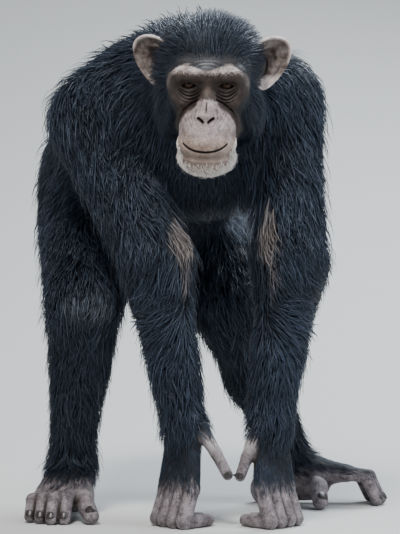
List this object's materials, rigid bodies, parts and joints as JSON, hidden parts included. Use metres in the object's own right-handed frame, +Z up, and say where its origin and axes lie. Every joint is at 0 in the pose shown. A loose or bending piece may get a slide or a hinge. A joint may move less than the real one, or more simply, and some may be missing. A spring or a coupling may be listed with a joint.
{
  "type": "chimpanzee figure",
  "caption": "Life-size still model of a chimpanzee that leans forward on its knuckles with bent legs and looks straight ahead, for display on a flat floor",
  "frame": {"origin": "centre of the bounding box's base, on the floor plane", "axes": "+Z up, animal faces -Y, its left side is +X"},
  "size_m": [0.5536, 0.6716, 0.7597],
  "materials": {
    "coat": "long straight black hair, matte with a faint blue sheen",
    "skin": "bare wrinkled mauve-grey skin, satin",
    "ear": "thin bare pinkish-brown skin, satin",
    "eye": "moist dark brown eye, gloss"
  },
  "bodies": {
    "root": {"head": "coat", "neck": "coat", "torso": "coat", "upper_arm_left": "coat", "upper_arm_right": "coat", "forearm_left": "coat", "forearm_right": "coat", "thigh_left": "coat", "thigh_right": "coat", "shin_left": "coat", "shin_right": "coat", "hand_left": "skin", "hand_right": "skin", "foot_left": "skin", "foot_right": "skin", "ear_left": "ear", "ear_right": "ear", "eye_left": "eye", "eye_right": "eye"}
  },
  "joints": []
}
